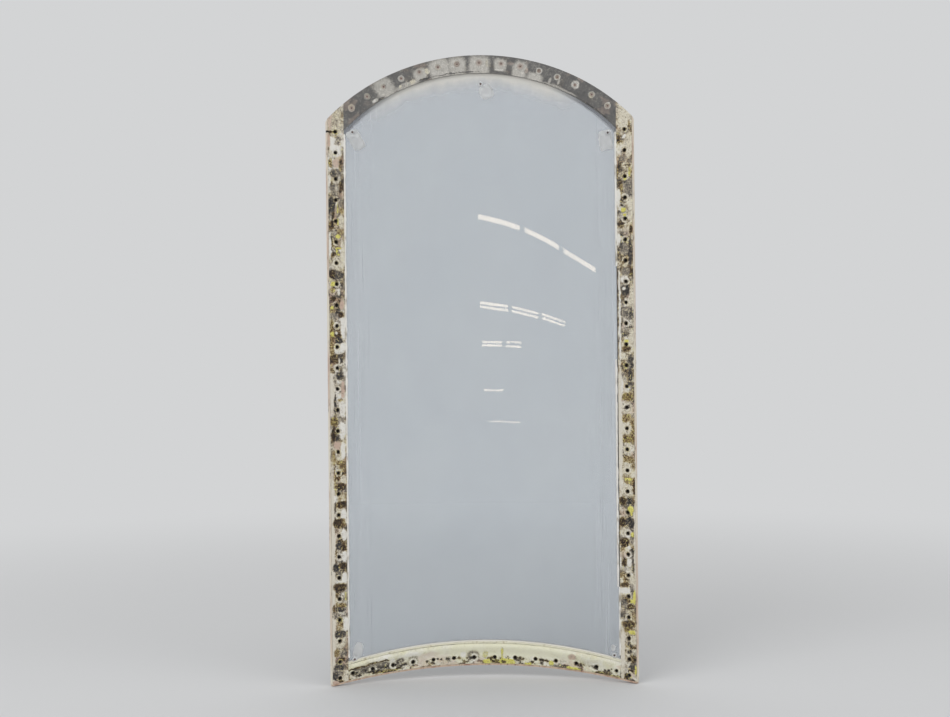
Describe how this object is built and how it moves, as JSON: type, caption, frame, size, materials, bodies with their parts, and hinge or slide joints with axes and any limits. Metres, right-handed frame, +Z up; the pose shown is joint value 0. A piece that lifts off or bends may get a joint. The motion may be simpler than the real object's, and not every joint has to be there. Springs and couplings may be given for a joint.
{
  "type": "aircraft windshield panel",
  "caption": "Curved laminated windshield panel with an arched top and a drilled edge rail all round for screwing to a window frame",
  "frame": {"origin": "under the middle of the panel, at the height of its two lower corners and half way through its depth", "axes": "+X to the right as seen from the cabin, +Y away from the cabin, +Z up along the straight side edges"},
  "size_m": [0.3734, 0.053, 0.7704],
  "materials": {
    "clear_ply": "stretched acrylic, hazed",
    "facing_glass": "polished glass",
    "interlayer_film": "clear film",
    "edge_laminate": "dull, stained",
    "edge_sealant": "matt, cut flush",
    "white_bead": "matt",
    "fairing_sealant": "smooth, slightly glossy",
    "weather_sealant": "matt",
    "pad_adhesive": "dull adhesive residue"
  },
  "bodies": {
    "root": {"structural_ply": "clear_ply", "facing_ply": "facing_glass", "interlayer": "interlayer_film", "left_edge_rail": "edge_laminate", "right_edge_rail": "edge_laminate", "top_edge_rail": "edge_laminate", "bottom_edge_rail": "edge_laminate", "left_edge_seal": "edge_sealant", "right_edge_seal": "edge_sealant", "bottom_edge_seal": "edge_sealant", "left_inner_bead": "white_bead", "right_inner_bead": "white_bead", "bottom_fairing": "fairing_sealant", "left_weather_bead": "weather_sealant", "right_weather_bead": "weather_sealant", "top_weather_bead": "weather_sealant", "bottom_weather_bead": "weather_sealant", "clip_pad_top_left": "pad_adhesive", "clip_pad_top_centre": "pad_adhesive", "clip_pad_top_right": "pad_adhesive", "clip_pad_bottom_left": "pad_adhesive", "clip_pad_bottom_right": "pad_adhesive"}
  },
  "joints": []
}
